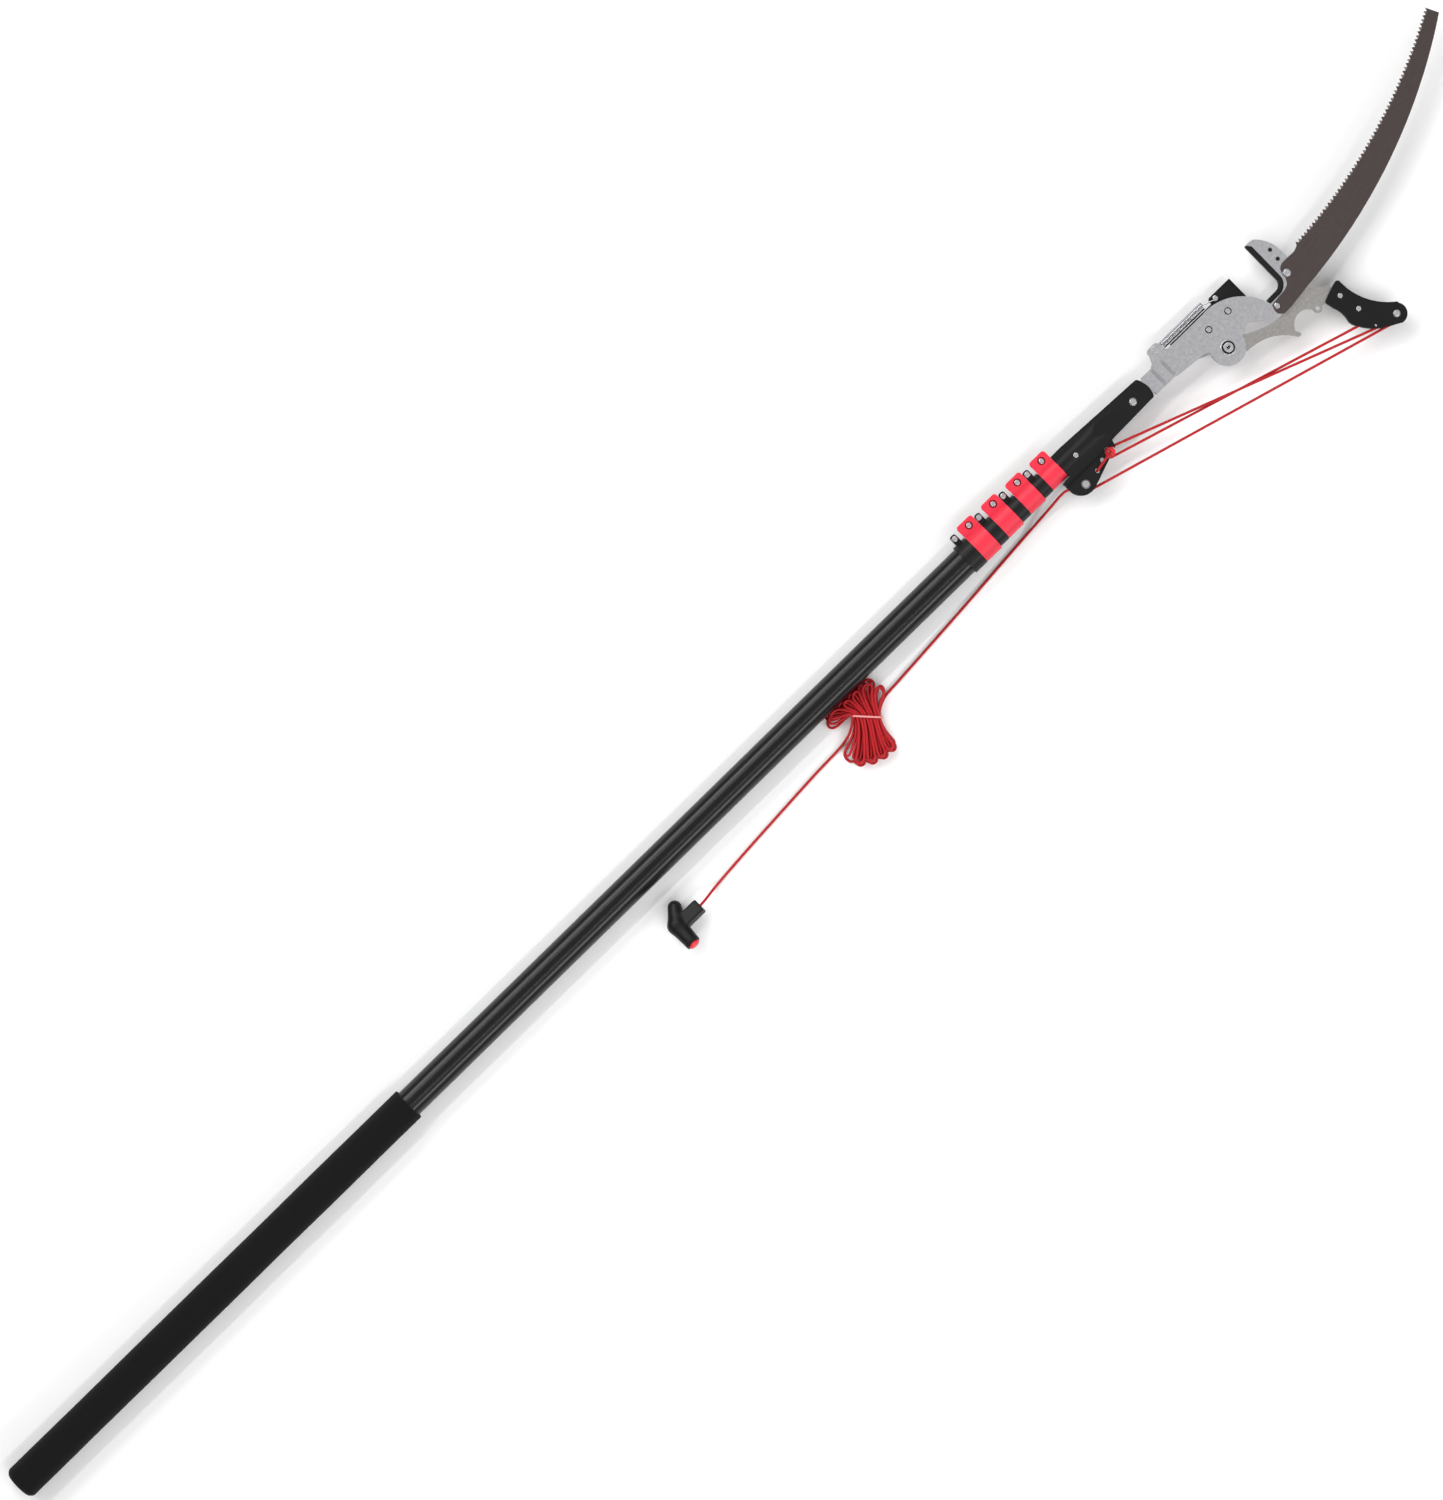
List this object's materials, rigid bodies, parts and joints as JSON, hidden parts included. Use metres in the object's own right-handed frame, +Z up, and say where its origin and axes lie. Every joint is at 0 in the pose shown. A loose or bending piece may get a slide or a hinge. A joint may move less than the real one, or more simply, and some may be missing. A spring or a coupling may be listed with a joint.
{
  "type": "telescoping pole pruner and saw",
  "caption": "Telescoping pole with flip-lever locks, a foam grip, a rope-pulled sliding-blade pruning jaw and a curved saw blade bolted to its head.",
  "frame": {"origin": "centre of the butt end, on the pole's axis", "axes": "+X along the pole from butt to head, +Z up from the surface the tool lies on, +Y towards the locks' ears and the cutting side of the head"},
  "size_m": [2.2498, 0.2311, 0.0403],
  "materials": {
    "tube_black": "gloss black coating",
    "foam": "matt closed-cell foam",
    "black_plastic": "semi-gloss",
    "slide_plastic": "matt",
    "red_plastic": "gloss",
    "zinc": "zinc plated",
    "plate_steel": "satin plated",
    "core_metal": "cast",
    "black_steel": "black finish",
    "saw_steel": "dark coated",
    "lever_steel": "satin plated",
    "rope": "braided cord",
    "tie": "woven tape"
  },
  "bodies": {
    "pole": {"outer_tube": "tube_black", "grip": "foam", "butt_plug": "black_plastic", "collar_1": "black_plastic", "lock_hardware_1": "zinc"},
    "section_2": {"tube_2": "tube_black", "slide_plug_2": "slide_plastic", "collar_2": "black_plastic", "lock_hardware_2": "zinc"},
    "section_3": {"tube_3": "tube_black", "slide_plug_3": "slide_plastic", "collar_3": "black_plastic", "lock_hardware_3": "zinc"},
    "section_4": {"tube_4": "tube_black", "slide_plug_4": "slide_plastic", "collar_4": "black_plastic", "lock_hardware_4": "zinc"},
    "head": {"tube_5": "tube_black", "slide_plug_5": "slide_plastic", "adapter_top_shell": "black_plastic", "adapter_bottom_shell": "black_plastic", "adapter_fasteners": "zinc", "sheave_axle": "zinc", "turning_ring": "red_plastic", "stem_core": "core_metal", "top_plate": "plate_steel", "bottom_plate": "plate_steel", "guide_bolts": "zinc", "pivot_bolt": "zinc", "anvil": "black_steel", "anvil_rivets": "black_steel", "return_spring": "zinc", "spring_screw": "zinc", "saw_blade": "saw_steel", "saw_fasteners": "zinc", "tackle_rope": "rope", "ring_lashing": "rope", "rope_upper": "rope", "rope_hank": "rope", "hank_tie": "tie", "rope_lower": "rope", "handle_body": "black_plastic", "handle_plugs": "red_plastic"},
    "lower_sheave": {"lower_sheave": "plate_steel"},
    "pull_lever": {"pull_lever": "lever_steel", "drive_pin": "zinc", "lever_top_shell": "black_plastic", "lever_bottom_shell": "black_plastic", "lever_rivets": "zinc", "lever_rope": "rope", "end_axle": "zinc"},
    "end_sheave": {"end_sheave": "plate_steel"},
    "cutter": {"cutter": "black_steel", "spring_post": "zinc"},
    "flip_lever_1": {"flip_lever_1": "red_plastic"},
    "flip_lever_2": {"flip_lever_2": "red_plastic"},
    "flip_lever_3": {"flip_lever_3": "red_plastic"},
    "flip_lever_4": {"flip_lever_4": "red_plastic"}
  },
  "joints": [
    {"name": "slide_2", "type": "slide", "parent": "pole", "child": "section_2", "axis": [1, 0, 0], "range_m": [0, 1.15], "deforming": ["rope_hank"]},
    {"name": "slide_3", "type": "slide", "parent": "section_2", "child": "section_3", "axis": [1, 0, 0], "range_m": [0, 1.15], "deforming": ["rope_hank"]},
    {"name": "slide_4", "type": "slide", "parent": "section_3", "child": "section_4", "axis": [1, 0, 0], "range_m": [0, 1.15], "deforming": ["rope_hank"]},
    {"name": "slide_5", "type": "slide", "parent": "section_4", "child": "head", "axis": [1, 0, 0], "range_m": [0, 1.15], "deforming": ["rope_hank"]},
    {"name": "flip_1", "type": "hinge", "parent": "pole", "child": "flip_lever_1", "pos_m": [1.4845, 0.0289, 0.003], "axis": [-1, 0, 0], "range_deg": [0, 100]},
    {"name": "flip_2", "type": "hinge", "parent": "section_2", "child": "flip_lever_2", "pos_m": [1.52, 0.0272, 0.003], "axis": [-1, 0, 0], "range_deg": [0, 100]},
    {"name": "flip_3", "type": "hinge", "parent": "section_3", "child": "flip_lever_3", "pos_m": [1.5555, 0.0255, 0.003], "axis": [-1, 0, 0], "range_deg": [0, 100]},
    {"name": "flip_4", "type": "hinge", "parent": "section_4", "child": "flip_lever_4", "pos_m": [1.591, 0.0238, 0.003], "axis": [-1, 0, 0], "range_deg": [0, 100]},
    {"name": "lever_pivot", "type": "hinge", "parent": "head", "child": "pull_lever", "pos_m": [1.8268, -0.035, 0.002], "axis": [0, 0, -1], "range_deg": [0, 49.25], "stiffness_Nm_per_rad": 0.7, "springref_deg": -20.05, "deforming": ["tackle_rope"]},
    {"name": "cutter_slide", "type": "slide", "parent": "head", "child": "cutter", "axis": [1, 0, 0], "range_m": [0, 0.03501], "deforming": ["return_spring"]},
    {"name": "lower_sheave_spin", "type": "hinge", "parent": "head", "child": "lower_sheave", "pos_m": [1.6098, -0.033, 0], "axis": [0, 0, 1], "continuous": true},
    {"name": "end_sheave_spin", "type": "hinge", "parent": "pull_lever", "child": "end_sheave", "pos_m": [1.9851, -0.1375, 0.002], "axis": [0, 0, 1], "continuous": true}
  ],
  "couplings": [
    {"joint": "cutter_slide", "follows": "lever_pivot", "m_per_rad": 0.040719}
  ]
}
